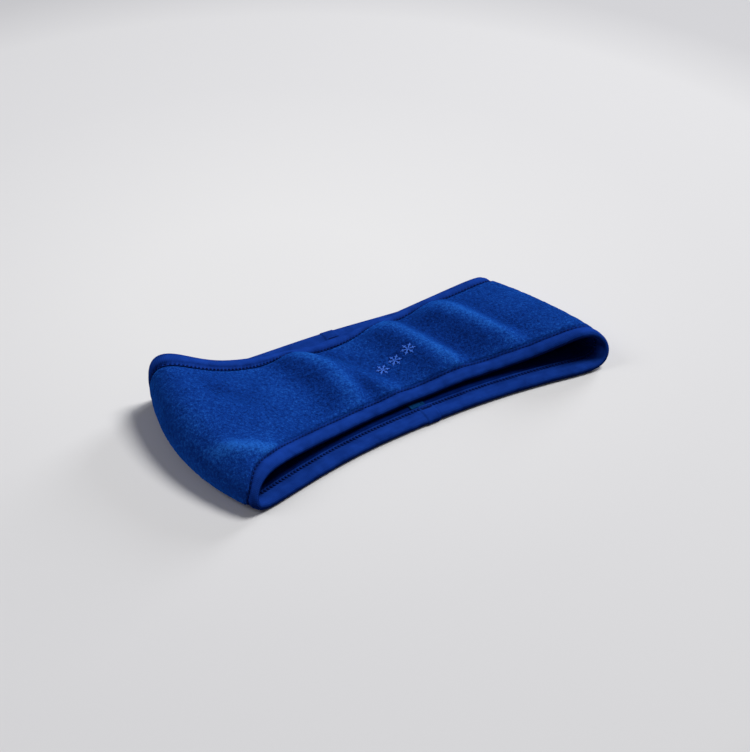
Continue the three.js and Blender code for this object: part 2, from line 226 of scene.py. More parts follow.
def unit(a):
    return a / np.maximum(np.linalg.norm(a, axis=-1, keepdims=True), 1e-12)


SLICES = 64                # samples across the band when its width is measured
SMALL = 1e-3               # the step, in rows and in parts of the width, that a slope is taken over
LINE_SAMPLES = 60 * ROWS   # samples round the loop when a line is measured


def widths_and_v(u, distance):
    """The band's width at each u, and v at the given distances from the near edge."""
    steps = np.linspace(0, 1, SLICES + 1)
    ribs = middle(u[:, None], steps[None, :])
    lengths = np.zeros((len(u), SLICES + 1))
    lengths[:, 1:] = np.cumsum(np.linalg.norm(np.diff(ribs, axis=1), axis=-1), axis=1)
    v = np.stack([np.interp(d, row, steps) for d, row in zip(distance, lengths)])
    return lengths[:, -1], v


def width_at(u):
    return widths_and_v(u, np.zeros((len(u), 1)))[0]


def place(u, distance, offset):
    """Points at a distance from the near edge and an offset from the middle surface, in mm."""
    width, v = widths_and_v(u, distance)
    column = u[:, None]
    points = middle(column, v)
    along = middle(column + SMALL, v) - middle(column - SMALL, v)
    across = unit(middle(column, v + SMALL) - middle(column, v - SMALL))
    normal = unit(np.cross(along, across))
    past = distance - np.clip(distance, 0, width[:, None])
    return points + across * past[..., None] + normal * offset[..., None] + TO_ORIGIN, normal


def measured_line(v):
    """u at many places along the line at v, and the arc length up to each."""
    fine = np.linspace(0, ROWS, LINE_SAMPLES + 1)
    line = middle(fine, np.full_like(fine, v))
    steps = np.linalg.norm(np.diff(line, axis=0), axis=-1)
    return fine, np.concatenate([[0], np.cumsum(steps)])


def even_turns(v, count):
    """u at count places spread evenly along the line at v, its length, and their arc lengths."""
    fine, lengths = measured_line(v)
    at = np.arange(count) / count * lengths[-1]
    return np.interp(at, lengths, fine), lengths[-1], at


def row_length(u, distance, offset, half):
    """Millimetres in a row of the loop, measured from u - half to u + half."""
    ends, _ = place(np.array([u - half, u + half]), np.full((2, 1), distance),
                    np.full((2, 1), offset))
    return np.linalg.norm(ends[1, 0] - ends[0, 0]) / (2 * half)


# ---- repeatable noise -------------------------------------------------------------------------
NOISE_VALUES = 65536       # a power of two
TABLE = np.random.default_rng(7).uniform(-1, 1, NOISE_VALUES)
MIX_X, MIX_Y, MIX_Z, MIX_SEED = 73856093, 19349663, 83492791, 2654435    # scatter the lookups


def value_noise(points, scale, seed):
    """Smooth noise from -1 to 1 at points (n, 3), with lumps about scale across."""
    p = points / scale
    cell = np.floor(p).astype(np.int64)
    f = p - cell
    f = f * f * (3 - 2 * f)
    total = np.zeros(len(points))
    for corner in range(8):
        step = np.array([corner & 1, corner >> 1 & 1, corner >> 2 & 1])
        at = cell + step
        key = at[:, 0] * MIX_X ^ at[:, 1] * MIX_Y ^ at[:, 2] * MIX_Z ^ seed * MIX_SEED
        weight = np.prod(np.where(step == 1, f, 1 - f), axis=1)
        total += weight * TABLE[key & NOISE_VALUES - 1]
    return total


def lumps(points, scale, seed):
    shape = points.shape[:-1]
    return value_noise(points.reshape(-1, 3), scale, seed).reshape(shape)


# ---- meshes -----------------------------------------------------------------------------------
def loop_faces(rings, size):
    i, k = np.meshgrid(np.arange(rings), np.arange(size), indexing="ij")
    j, m = (i + 1) % rings, (k + 1) % size
    return np.stack([i * size + k, j * size + k, j * size + m, i * size + m], -1).reshape(-1, 4)


def tube_faces(base, rings, sides):
    """A capped tube whose points start at base, ring after ring."""
    faces = []
    for i in range(rings - 1):
        a, b = base + i * sides, base + (i + 1) * sides
        for k in range(sides):
            m = (k + 1) % sides
            faces.append((a + k, a + m, b + m, b + k))
    last = base + (rings - 1) * sides
    faces.append(tuple(base + k for k in reversed(range(sides))))
    faces.append(tuple(last + k for k in range(sides)))
    return faces


def add_values(made, name, values):
    """Stores one number for each vertex, for the material to read."""
    layer = made.data.attributes.new(name, "FLOAT", "POINT")
    layer.data.foreach_set("value", values.ravel().astype(np.float32))


def mesh_object(name, points, faces, uv=None):
    """A smooth object from points in millimetres, faces, and a UV pair for each point."""
    mesh = bpy.data.meshes.new(name)
    mesh.from_pydata((points * MM).tolist(), [], [list(map(int, face)) for face in faces])
    mesh.polygons.foreach_set("use_smooth", [True] * len(mesh.polygons))
    if uv is not None:
        layer = mesh.uv_layers.new(name="cloth")
        corners = np.zeros(len(mesh.loops), int)
        mesh.loops.foreach_get("vertex_index", corners)
        layer.data.foreach_set("uv", uv[corners].astype(np.float32).ravel())
    mesh.update()
    found = bpy.data.objects.new(name, mesh)
    bpy.context.scene.collection.objects.link(found)
    return found


def loop_object(name, grid, uv_grid=None):
    """A closed tube round the loop, from a grid of points (rings, ring size, 3)."""
    rings, size = grid.shape[:2]
    faces = loop_faces(rings, size)
    points = grid.reshape(-1, 3)
    a, b, c = points[faces[:, 0]], points[faces[:, 1]], points[faces[:, 2]]
    if np.einsum("ij,ij->i", a, np.cross(b, c)).sum() < 0:
        faces = faces[:, ::-1]
    uv = None if uv_grid is None else uv_grid.reshape(-1, 2)
    return mesh_object(name, points, faces, uv)


TABLE_CLEARANCE = 0.02     # mm


def press_on_table(grid):
    grid[..., 2] = np.maximum(grid[..., 2], TABLE_CLEARANCE)
    return grid


# ---- dimensions of the layers, in millimetres -------------------------------------------------
FLEECE_OUT = 3.0
FLEECE_PRESSED = 1.2       # under the binding
FLEECE_IN = 0.45
LINING_BACK = 0.2          # the lining's hidden face
LINING_IN = -1.3
LINING_PRESSED = -0.5      # under the binding
CHANNEL = 10.6             # from each edge to the cloth that is free of the bindings
OUTER_LEG, INNER_LEG = 7.4, 9.3          # the binding's legs, from the band's edge
OUTER_STITCH, INNER_STITCH = 6.3, 7.9    # the rows of stitches, from the band's edge
STITCH_PITCH = 2.3         # the stitches that show on the outside
COVER_PITCH = 2.1          # the stitches that show on the inside
EDGE_INSET = 0.6           # the fleece and the lining stop this short of the band's edge
CENTRE = 0.4               # the middle of the binding's fold
ROLL_HALF = 2.25           # half the fold's thickness
ROLL_REACH = 2.3           # how far the fold reaches past the band's edge
ROLL_ANGLE = 78.0          # degrees from the fold's middle to where each leg starts
LEG_OUT, LEG_IN = 2.35, -1.6   # the legs' outer faces, before they swell and dip
SEAM_ROW = 20.9            # where the centre-back seam crosses the band, in rows


# ---- materials --------------------------------------------------------------------------------
def srgb(r, g, b):
    return tuple(
        c / 12.92 if c <= 0.04045 else ((c + 0.055) / 1.055) ** 2.4
        for c in (r / 255, g / 255, b / 255)
    ) + (1.0,)


class Shader:
    """A short way to write a node material."""

    def __init__(self, name):
        self.material = bpy.data.materials.new(name)
        self.material.use_nodes = True
        self.tree = self.material.node_tree
        self.main = self.tree.nodes["Principled BSDF"]

    def node(self, kind, **settings):
        made = self.tree.nodes.new(kind)
        for key, value in settings.items():
            if hasattr(made, key):
                setattr(made, key, value)
            else:
                made.inputs[key.replace("_", " ")].default_value = value
        return made

    def link(self, source, target):
        self.tree.links.new(source, target)

    def noise(self, coordinates, scale, detail=2.0, rough=0.5):
        made = self.node("ShaderNodeTexNoise", Scale=scale, Detail=detail, Roughness=rough)
        self.link(coordinates, made.inputs["Vector"])
        return made.outputs["Fac"]

    def ramp(self, factor, *stops):
        made = self.node("ShaderNodeValToRGB")
        ramp = made.color_ramp
        while len(ramp.elements) < len(stops):
            ramp.elements.new(0.5)
        for element, (position, colour) in zip(ramp.elements, stops):
            element.position = position
            element.color = colour
        self.link(factor, made.inputs["Fac"])
        return made.outputs["Color"]

    def math(self, operation, a, b):
        made = self.node("ShaderNodeMath", operation=operation)
        for socket, value in zip(made.inputs, (a, b)):
            if isinstance(value, (int, float)):
                socket.default_value = value
            else:
                self.link(value, socket)
        return made.outputs["Value"]

    def bump(self, height, distance, strength, after=None):
        made = self.node("ShaderNodeBump", Distance=distance, Strength=strength)
        self.link(height, made.inputs["Height"])
        if after is not None:
            self.link(after, made.inputs["Normal"])
        return made.outputs["Normal"]

    def set(self, **values):
        for key, value in values.items():
            self.main.inputs[key.replace("_", " ")].default_value = value


TUFTS, CLUMPS, PATCHES = 1500.0, 620.0, 45.0    # noise scales of the fleece, per metre
PAINTED_FOLD_WEIGHT = 0.11         # how much the folds' painted light and shade change the fleece's colour


def fleece_material():
    s = Shader("fleece")
    spot = s.node("ShaderNodeTexCoord").outputs["Object"]
    tufts = s.noise(spot, TUFTS, 3.0, 0.6)
    clumps = s.noise(spot, CLUMPS, 2.0, 0.55)
    patches = s.noise(spot, PATCHES, 2.0, 0.5)
    mixed = s.math("ADD", s.math("MULTIPLY", tufts, 0.45), s.math("MULTIPLY", clumps, 0.40))
    mixed = s.math("ADD", mixed, s.math("MULTIPLY", patches, 0.15))
    # painted light and shade of the folds: lighter on the crests, darker in the hollows
    painted_fold_shading = s.node("ShaderNodeAttribute", attribute_name="painted_fold_shading").outputs["Fac"]
    mixed = s.math("ADD", mixed, s.math("MULTIPLY", painted_fold_shading, PAINTED_FOLD_WEIGHT))
    deep, usual, bright = srgb(8, 31, 92), srgb(16, 57, 143), srgb(34, 98, 194)
    colour = s.ramp(mixed, (0.34, deep), (0.52, usual), (0.70, bright))
    s.link(colour, s.main.inputs["Base Color"])
    first = s.bump(clumps, 0.0009, 0.6)
    s.link(s.bump(tufts, 0.0006, 0.7, first), s.main.inputs["Normal"])
    s.set(Roughness=1.0, Sheen_Weight=1.0, Sheen_Roughness=0.35, Sheen_Tint=srgb(30, 116, 232))
    s.set(Specular_IOR_Level=0.0)
    return s.material


BANDS_AT_ONE = 20 / (2 * math.pi)      # bands that a wave texture of scale 1 draws in a unit
COURSES_PER_WALE = 1.3
KNIT_SHADES = 140.0                    # noise scale of the knit's uneven shade, per metre


def knit_material(name, dark, deep, light, wales, sheen):
    """A fine jersey knit, with this many wales in a centimetre. Its UV units are centimetres."""
    s = Shader(name)
    cloth = s.node("ShaderNodeUVMap", uv_map="cloth").outputs["UV"]
    spot = s.node("ShaderNodeTexCoord").outputs["Object"]
    bands = []
    for direction, count, uneven in (("X", wales, 0.4), ("Y", wales * COURSES_PER_WALE, 0.6)):
        wave = s.node("ShaderNodeTexWave", wave_type="BANDS", bands_direction=direction)
        wave.inputs["Scale"].default_value = count / BANDS_AT_ONE
        wave.inputs["Distortion"].default_value = uneven
        s.link(cloth, wave.inputs["Vector"])
        bands.append(wave.outputs["Fac"])
    knit = s.math("MULTIPLY", *bands)
    shade = s.noise(spot, KNIT_SHADES, 2.0, 0.5)
    mixed = s.math("ADD", s.math("MULTIPLY", knit, 0.35), s.math("MULTIPLY", shade, 0.65))
    # painted shade from the bindings' attribute darkens the colour; its negative values are a
    # painted highlight
    crease_and_painted_shade = s.node("ShaderNodeAttribute", attribute_name="crease_and_painted_shade").outputs["Fac"]
    mixed = s.math("SUBTRACT", mixed, crease_and_painted_shade)
    s.link(s.ramp(mixed, (0.0, dark), (0.25, deep), (0.7, light)), s.main.inputs["Base Color"])
    s.link(s.bump(knit, 0.00012, 0.6), s.main.inputs["Normal"])
    s.set(Roughness=0.6, Sheen_Weight=sheen, Sheen_Roughness=0.35, Specular_IOR_Level=0.0)
    s.set(Sheen_Tint=srgb(16, 96, 240))
    return s.material


STRANDS = 2600.0           # noise scale of the twisted strands, per metre


def thread_material(name, colour, pale):
    s = Shader(name)
    spot = s.node("ShaderNodeTexCoord").outputs["Object"]
    strands = s.noise(spot, STRANDS, 2.0, 0.6)
    s.link(s.ramp(strands, (0.35, colour), (0.65, pale)), s.main.inputs["Base Color"])
    s.link(s.bump(strands, 0.0001, 0.5), s.main.inputs["Normal"])
    s.set(Roughness=0.6, Specular_IOR_Level=0.03)
    return s.material


# The floor's colour holds a painted pool of light: lightest round one point behind the band, darker
# further away.
FLOOR_REACH = 0.9          # metres from the brightest place to the end of the ramp
FLOOR_PAINTED_LIGHT_CENTRE = (0.0, 0.12, 0.0)
FLOOR_STOPS = [            # place on the ramp, from 0 far away to 1, and the colour there
    (0.08, srgb(212, 212, 213)),
    (0.30, srgb(195, 195, 197)),
    (0.42, srgb(199, 199, 201)),
    (0.52, srgb(218, 218, 219)),
    (0.67, srgb(221, 221, 222)),
    (0.90, srgb(231, 231, 231)),
]


def floor_with_painted_light_material():
    s = Shader("floor")
    spot = s.node("ShaderNodeTexCoord").outputs["Object"]
    moved = s.node("ShaderNodeMapping", vector_type="TEXTURE")
    moved.inputs["Location"].default_value = FLOOR_PAINTED_LIGHT_CENTRE
    moved.inputs["Scale"].default_value = (FLOOR_REACH, FLOOR_REACH, FLOOR_REACH)
    s.link(spot, moved.inputs["Vector"])
    # the painted pool of light, lightest at its centre
    painted_light_pool = s.node("ShaderNodeTexGradient", gradient_type="SPHERICAL")
    s.link(moved.outputs["Vector"], painted_light_pool.inputs["Vector"])
    s.link(s.ramp(painted_light_pool.outputs["Fac"], *FLOOR_STOPS), s.main.inputs["Base Color"])
    s.set(Roughness=0.9, Specular_IOR_Level=0.1)
    return s.material


FLEECE_LOOK = fleece_material()
BINDING_LOOK = knit_material(
    "binding", srgb(5, 20, 66), srgb(14, 44, 118), srgb(26, 66, 160), wales=12.1585, sheen=0.22)
LINING_LOOK = knit_material(
    "lining", srgb(2, 12, 50), srgb(3, 22, 80), srgb(6, 38, 112), wales=8.1057, sheen=0.1)
TAPE_LOOK = knit_material(
    "seam_tape", srgb(6, 38, 86), srgb(8, 46, 98), srgb(18, 76, 128), wales=10.1321, sheen=0.2)
LABEL_LOOK = knit_material(
    "label", srgb(20, 70, 130), srgb(30, 84, 150), srgb(60, 120, 180), wales=20.2642, sheen=0.3)
THREAD_LOOK = thread_material("thread", srgb(2, 14, 58), srgb(8, 34, 104))
COVER_LOOK = thread_material("cover_thread", srgb(3, 18, 72), srgb(12, 44, 124))
EMBROIDERY_LOOK = thread_material("embroidery", srgb(44, 96, 208), srgb(84, 136, 236))
BACKING_LOOK = thread_material("backing", srgb(214, 214, 210), srgb(232, 232, 228))


def dress(piece, look, slot, *nodes):
    """Gives a piece its material, its body and the CAD nodes it stands for. Its slot is not used."""
    piece.data.materials.append(look)
    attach(piece, "root")
    if nodes:
        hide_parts(*nodes)
    return piece


# ---- where the embroidery is ------------------------------------------------------------------
MOTIF_ROW = 10.935         # the middle of the embroidery, in rows round the loop
MOTIF_UP = 0.39333         # and in parts of the way from the near channel to the far one
MOTIF_TURN = math.radians(13.0)        # the line of flakes climbs towards the far edge
FLAKE_PITCH = 10.4         # between the middles of two flakes
FLAKE_RADIUS = 4.4
FLAKE_BAR, FLAKE_BAR_AT = 1.0, 2.9      # half of each cross bar, and where it is on its arm
STROKE_HALF, STROKE_HIGH, STROKE_LIFT = 0.42, 0.30, -0.42
STROKE_RINGS, STROKE_SIDES = 10, 8
DIP_DEEP, DIP_EASE, DIP_INSIDE = 0.75, 1.3, 1.0     # the pile is pressed down by the stitches
MOTIF_WIDTH = width_at(np.array([MOTIF_ROW]))[0]    # the band's width at the embroidery
MOTIF_DISTANCE = CHANNEL + (MOTIF_WIDTH - 2 * CHANNEL) * MOTIF_UP
MOTIF_ROW_LENGTH = row_length(MOTIF_ROW, MOTIF_DISTANCE, FLEECE_OUT, 0.05)


def from_motif(along, up):
    """u and the distance from the near edge, from places in the embroidery's own plane."""
    c, n = math.cos(MOTIF_TURN), math.sin(MOTIF_TURN)
    return MOTIF_ROW + (along * c - up * n) / MOTIF_ROW_LENGTH, MOTIF_DISTANCE + along * n + up * c


def motif_dip(u, distance):
    """How deep the stitches press the pile, at each u and distance."""
    c, n = math.cos(MOTIF_TURN), math.sin(MOTIF_TURN)
    x, y = (u - MOTIF_ROW) * MOTIF_ROW_LENGTH, distance - MOTIF_DISTANCE
    along, up = x * c + y * n, -x * n + y * c
    apart = np.min([np.hypot(along - spot * FLAKE_PITCH, up) for spot in (-1, 0, 1)], axis=0)
    return DIP_DEEP * bell(np.maximum(apart - FLAKE_RADIUS + DIP_INSIDE, 0), DIP_EASE)


# ---- the fleece -------------------------------------------------------------------------------
FLEECE_RINGS = 660
FLEECE_ACROSS = 120
HIDDEN_ACROSS = 8          # points across a hidden face
PRESS_TO, PRESS_EASE = 6.9, 2.2        # the fleece rises from under the binding
FREE_FROM, FREE_EASE = 7.5, 1.5        # where the nap starts
NAPS = [(0.16, 2.6, 1), (0.13, 1.25, 2)]    # heights, sizes and seeds of the fleece's lumps
SEAM_DEEP, SEAM_ROWS = 0.9, 0.02       # the groove of the centre-back seam
TURN_ROLL, TURN_ROW, TURN_ROWS = 0.58, 5.3, 0.9
FAR_WIDER, FAR_ROW, FAR_ROWS = 0.45, 7.6, 1.6
RIDGE_FROM, RIDGE_PAINTED_LIGHT = 5.2, 0.55     # the first row whose painted light and shade follow the wrinkles


def outer_leg_share(side, u):
    """The outer leg's share of its usual width.

    The near one rolls in at the left turn. The far one rolls out where the band stands up.
    """
    if side == "far":
        return 1 + FAR_WIDER * bell(u % ROWS - FAR_ROW, FAR_ROWS)
    return 1 - TURN_ROLL * bell(u % ROWS - TURN_ROW, TURN_ROWS)


def fleece_offset(edge):
    """The outer face's offset at a distance from the nearer edge: pressed under the binding."""
    return FLEECE_PRESSED + (FLEECE_OUT - FLEECE_PRESSED) * smooth((edge - PRESS_TO) / PRESS_EASE)


def painted_fold_values(u, plan):
    """Painted light and shade at points of the outer face, from the folds and the left end's
    wrinkles.
    """
    x, y = plan[..., 0], plan[..., 1]
    turn = u[:, None]
    ridge = smooth((turn - RIDGE_FROM) / TOP_RISE) * smooth((TOP_TO - turn) / TOP_FALL)
    return front_share(turn) * painted_fold_light(x, y) + RIDGE_PAINTED_LIGHT * ridge * wrinkle_height(x, y)


def build_fleece():
    u, _, _ = even_turns(0.5, FLEECE_RINGS)
    width = width_at(u)[:, None]
    share = np.linspace(0, 1, FLEECE_ACROSS)[None, :]
    outer = EDGE_INSET + (width - 2 * EDGE_INSET) * share
    edge = np.minimum(outer / outer_leg_share("near", u)[:, None],
                      (width - outer) / outer_leg_share("far", u)[:, None])
    points, normal = place(u, outer, fleece_offset(edge))
    free = smooth((edge - FREE_FROM) / FREE_EASE)
    nap = sum(height * lumps(points, size, seed) for height, size, seed in NAPS)
    points += normal * (nap * free)[..., None]
    from_seam = (u - SEAM_ROW + ROWS / 2) % ROWS - ROWS / 2
    seam = np.exp(-from_seam[:, None] ** 2 / (2 * SEAM_ROWS ** 2))
    points -= normal * (SEAM_DEEP * seam * free)[..., None]
    points -= normal * motif_dip(u[:, None], outer)[..., None]
    share = np.linspace(1, 0, HIDDEN_ACROSS)[None, :]
    inner = EDGE_INSET + (width - 2 * EDGE_INSET) * share
    back, _ = place(u, inner, np.full_like(inner, FLEECE_IN))
    grid = press_on_table(np.concatenate([points, back], axis=1))
    made = loop_object("fleece_shell", grid)
    # painted light and shade of the folds, on the outer face only
    painted_fold_shading = np.zeros(grid.shape[:2])
    painted_fold_shading[:, :FLEECE_ACROSS] = painted_fold_values(u, points - TO_ORIGIN)
    add_values(made, "painted_fold_shading", painted_fold_shading)
    return made


fleece = dress(build_fleece(), FLEECE_LOOK, "fleece", "outer_fleece")


# ---- the lining -------------------------------------------------------------------------------
LINING_RINGS = 560
LINING_ACROSS = 60
LINING_FREE, LINING_EASE = INNER_LEG - 0.4, 1.2    # the lining stands free of the binding
LINING_LUMPS = (0.12, 4.0, 5)                      # height, size and seed
PINCH, PINCH_ROW, PINCH_ROWS = 0.55, 16.0, 0.9


def pinch(u):
    """The inner layers are squeezed thinner where the band turns sharply at its right end."""
    return 1 - PINCH * bell(u % ROWS - PINCH_ROW, PINCH_ROWS)


def build_lining():
    u, _, at = even_turns(0.5, LINING_RINGS)
    width = width_at(u)[:, None]
    inner = EDGE_INSET + (width - 2 * EDGE_INSET) * np.linspace(0, 1, LINING_ACROSS)[None, :]
    edge = np.minimum(inner, width - inner)
    free = smooth((edge - LINING_FREE) / LINING_EASE)
    offset = LINING_PRESSED + (LINING_IN - LINING_PRESSED) * free
    points, normal = place(u, inner, offset * pinch(u)[:, None])
    height, size, seed = LINING_LUMPS
    points += normal * (height * free * lumps(points, size, seed))[..., None]
    hidden = EDGE_INSET + (width - 2 * EDGE_INSET) * np.linspace(1, 0, HIDDEN_ACROSS)[None, :]
    back, _ = place(u, hidden, np.full_like(hidden, LINING_BACK))
    grid = np.concatenate([points, back], axis=1)
    spread = np.concatenate([inner, hidden], axis=1)
    uv = np.stack([np.broadcast_to(at[:, None], spread.shape), spread], -1) * CM_PER_MM
    return loop_object("lining_shell", grid, uv)


lining = dress(build_lining(), LINING_LOOK, "lining_knit", "lining")


# ---- the bindings -----------------------------------------------------------------------------
BINDING_RINGS = 1400
LEG_POINTS = 14
ROLL_POINTS = 13
BINDING_THICK = 0.3
BINDING_SEED = {"near": 3.0, "far": 9.0}
INNER_SEED = 20            # added to the seed for the inner leg
UV_SPREAD = 3.0            # mm in UV between a leg's outer and inner faces

# Each leg swells near the fold, dips at its stitches, and stands up a little at its cut edge.
PILLOW_HIGH, PILLOW_AT, PILLOW_HALF = 0.60, 2.4, 2.3
GROOVE_DEEP, GROOVE_HALF = 0.75, 0.95
LIP_HIGH, LIP_IN, LIP_HALF = 0.30, 0.2, 0.4
PUCKER_HIGH, PUCKER_HALF = 0.18, 1.3       # one pucker for each stitch
# Uneven creases, longer along the binding than across it.
CREASE_HIGH, CREASE_AT, CREASE_HALF = 0.22, 5.0, 4.0
CREASE_LONG, CREASE_WIDE, CREASE_SEED = 9.0, 6.0, 11


def leg_offset(edge, stitch, leg):
    """How far a leg stands from the cloth under it: full by the fold, drawn in at the stitch."""
    pillow = PILLOW_HIGH * bell(edge - PILLOW_AT, PILLOW_HALF)
    groove = GROOVE_DEEP * bell(edge - stitch, GROOVE_HALF)
    lip = LIP_HIGH * bell(edge - leg + LIP_IN, LIP_HALF)
    return pillow - groove + lip


def leg_shape(at, length, stitch, leg, pitch, seed):
    """One leg's distances from the edge and its heights, drawn in at each stitch."""
    count = round(length / pitch)
    phase = (at / length * count)[:, None]
    edge = np.broadcast_to(np.linspace(leg, 0, LEG_POINTS)[None, :], (len(at), LEG_POINTS))
    pucker = PUCKER_HIGH * np.cos(2 * np.pi * phase) * bell(edge - stitch, PUCKER_HALF)
    along = np.broadcast_to(at[:, None], edge.shape)
    wave = np.stack([along / CREASE_LONG, edge / CREASE_WIDE, np.full(edge.shape, seed)], -1)
    crease_and_painted_shade = CREASE_HIGH * lumps(wave, 1.0, CREASE_SEED) * bell(edge - CREASE_AT, CREASE_HALF)
    return edge, leg_offset(edge, stitch, leg) + pucker + crease_and_painted_shade


# Painted shade on the bindings: how much darker the knit is painted, in parts of its material's
# ramp, along the stitches and on faces that turn down. A negative value is a painted highlight.
SEWN_SHADE, SEWN_HALF = 0.34, 0.9
CREST_SHADE, CREST_AT, CREST_HALF = -0.16, 2.6, 1.9
OUTER_SHARE, INNER_SHARE = 0.6, 0.35
UNDER_SHADE, UNDER_FROM, UNDER_REACH = 0.50, 0.72, 1.1


def sewn_shade(edge, stitch):
    """Painted shade along the stitches, where they draw the knit in, and a painted highlight on the
    crest of the fold.
    """
    painted_stitch_shade = SEWN_SHADE * bell(edge - stitch, SEWN_HALF)
    return painted_stitch_shade + CREST_SHADE * bell(edge - CREST_AT, CREST_HALF)


def painted_shade_values(made, edge, under, shape):
    """Painted shade of the knit at each point. Faces that turn away from above get more painted
    shade.
    """
    facing = np.zeros(len(made.data.vertices) * 3, np.float32)
    made.data.vertices.foreach_get("normal", facing)
    upward = facing[2::3].reshape(shape)
    sewn = np.concatenate([
        OUTER_SHARE * sewn_shade(edge, OUTER_STITCH),
        np.zeros((len(edge), ROLL_POINTS)),
        INNER_SHARE * sewn_shade(under, INNER_STITCH)[:, ::-1],
    ], axis=1)
    crease_and_painted_shade = UNDER_SHADE * smooth((UNDER_FROM - upward) / UNDER_REACH)
    crease_and_painted_shade[:, :sewn.shape[1]] += sewn
    return crease_and_painted_shade


LAP_AT = {"near": 8.0, "far": 0.0}     # x of the middle of each lapped join, on the back half
LAP_HALF = 4.2
LAP_THICK = 0.45           # the second layer of cloth, on each face
LAP_STEP = 0.7             # the length over which the lap's step rises
BACK_ROWS = 2              # the lap is within this many rows of row 0


def lap_at(side, u, at, length):
    """1 where the binding's two ends lie over each other, 0 elsewhere, with a sharp step."""
    v = 0.0 if side == "near" else 1.0
    x = middle(u, np.full_like(u, v))[:, 0]
    back = np.minimum(u, ROWS - u) < BACK_ROWS
    centre = at[back][np.argmin(np.abs(x[back] - LAP_AT[side]))]
    away = np.abs((at - centre + length / 2) % length - length / 2)
    return smooth((LAP_HALF + LAP_STEP / 2 - away) / LAP_STEP)


def build_binding(side):
    """At each place a closed ring of points, round the fold's outside and back along its inside."""
    u, length, at = even_turns(0.0 if side == "near" else 1.0, BINDING_RINGS)
    angle = np.radians(np.linspace(ROLL_ANGLE, -ROLL_ANGLE, ROLL_POINTS))[None, :]
    seed = BINDING_SEED[side]
    edge, height = leg_shape(at, length, OUTER_STITCH, OUTER_LEG, STITCH_PITCH, seed)
    under, depth = leg_shape(at, length, INNER_STITCH, INNER_LEG, COVER_PITCH, seed + INNER_SEED)
    lap = LAP_THICK * lap_at(side, u, at, length)[:, None]
    thin = pinch(u)[:, None]
    outer = LEG_OUT + height + lap
    inner = (LEG_IN - depth) * thin - lap
    edge = edge * outer_leg_share(side, u)[:, None]
    squeeze = np.where(angle < 0, thin, 1.0)
    back_squeeze = squeeze[:, ::-1]
    half = ROLL_HALF - BINDING_THICK
    reach = ROLL_REACH - BINDING_THICK
    parts = [
        (edge, outer),
        (-(ROLL_REACH + lap) * np.cos(angle),
         CENTRE * squeeze + (ROLL_HALF * squeeze + lap) * np.sin(angle)),
        (under[:, ::-1], inner[:, ::-1]),
        (under, inner + BINDING_THICK),
        (-(reach + lap) * np.cos(angle),
         CENTRE * back_squeeze - (half * back_squeeze + lap) * np.sin(angle)),
        (edge[:, ::-1], outer[:, ::-1] - BINDING_THICK),
    ]
    distance = np.concatenate([part[0] for part in parts], axis=1)
    offset = np.concatenate([part[1] for part in parts], axis=1)
    along = np.broadcast_to(at[:, None], distance.shape)
    uv = np.stack([along, distance + np.sign(offset) * UV_SPREAD], -1) * CM_PER_MM
    if side == "far":
        distance = width_at(u)[:, None] - distance
    grid, _ = place(u, distance, offset)
    made = loop_object(f"{side}_binding", press_on_table(grid), uv)
    # painted shade for the knit, along the stitches and on faces that turn down
    add_values(made, "crease_and_painted_shade", painted_shade_values(made, edge, under, grid.shape[:2]))
    return made


bindings = {
    side: dress(build_binding(side), BINDING_LOOK, "binding_knit", f"{side}_edge_binding")
    for side in ("near", "far")
}


# ---- stitches ---------------------------------------------------------------------------------
STITCH_SIDES = 6
STITCH_RINGS = 6
BOW_POWER, TAPER_POWER = 0.6, 0.4      # how bluntly a stitch rises and ends
TAPER_IN = 0.06            # where the taper starts, in parts of the stitch


def stitch_tubes(name, start, end, normal, radius, dip):
    """One short bowed tube for each stitch, from arrays of ends and normals in millimetres."""
    count = len(start)
    t = np.linspace(0, 1, STITCH_RINGS)
    along = start[:, None] + (end - start)[:, None] * t[None, :, None]
    bow = np.sin(np.pi * t) ** BOW_POWER
    along = along + normal[:, None] * ((bow - 1) * dip)[None, :, None]
    direction = unit(end - start)[:, None]
    side = unit(np.cross(direction, normal[:, None]))
    up = np.cross(side, direction)
    taper = radius * np.sin(np.pi * (TAPER_IN + (1 - 2 * TAPER_IN) * t)) ** TAPER_POWER
    angle = np.arange(STITCH_SIDES) / STITCH_SIDES * 2 * np.pi
    ring = (side[:, :, None] * np.cos(angle)[None, None, :, None]
            + up[:, :, None] * np.sin(angle)[None, None, :, None])
    points = along[:, :, None] + ring * taper[None, :, None, None]
    faces = [face for n in range(count)
             for face in tube_faces(n * STITCH_RINGS * STITCH_SIDES, STITCH_RINGS, STITCH_SIDES)]
    return mesh_object(name, points.reshape(-1, 3), faces)


def on_line(side, length, at, edge, offset):
    """Points at arc positions round one edge, at a distance from it and an offset."""
    fine, lengths = measured_line(0.0 if side == "near" else 1.0)
    u = np.interp(at % length, lengths, fine)
    distance = np.broadcast_to(edge, at.shape)[:, None]
    if offset > 0:
        distance = distance * outer_leg_share(side, u)[:, None]
    if side == "far":
        distance = width_at(u)[:, None] - distance
    points, normal = place(u, distance, np.broadcast_to(offset, at.shape)[:, None])
    return points[:, 0], normal[:, 0]


# Each stitch runs its reach (in pitches) to either side of its middle, and its slant to either
# side of its row.
ROWS_OF_STITCHES = {
    "outer": dict(pitch=STITCH_PITCH, edge=OUTER_STITCH, offset=LEG_OUT - 0.50, up=1.0,
                  radius=0.42, reach=0.33, slant=0.25),
    "inner": dict(pitch=COVER_PITCH, edge=INNER_STITCH, offset=LEG_IN + 0.30, up=-1.0,
                  radius=0.50, reach=0.22, slant=1.1),
}
STITCH_LIFT = 0.12
STITCH_DIP = 0.25


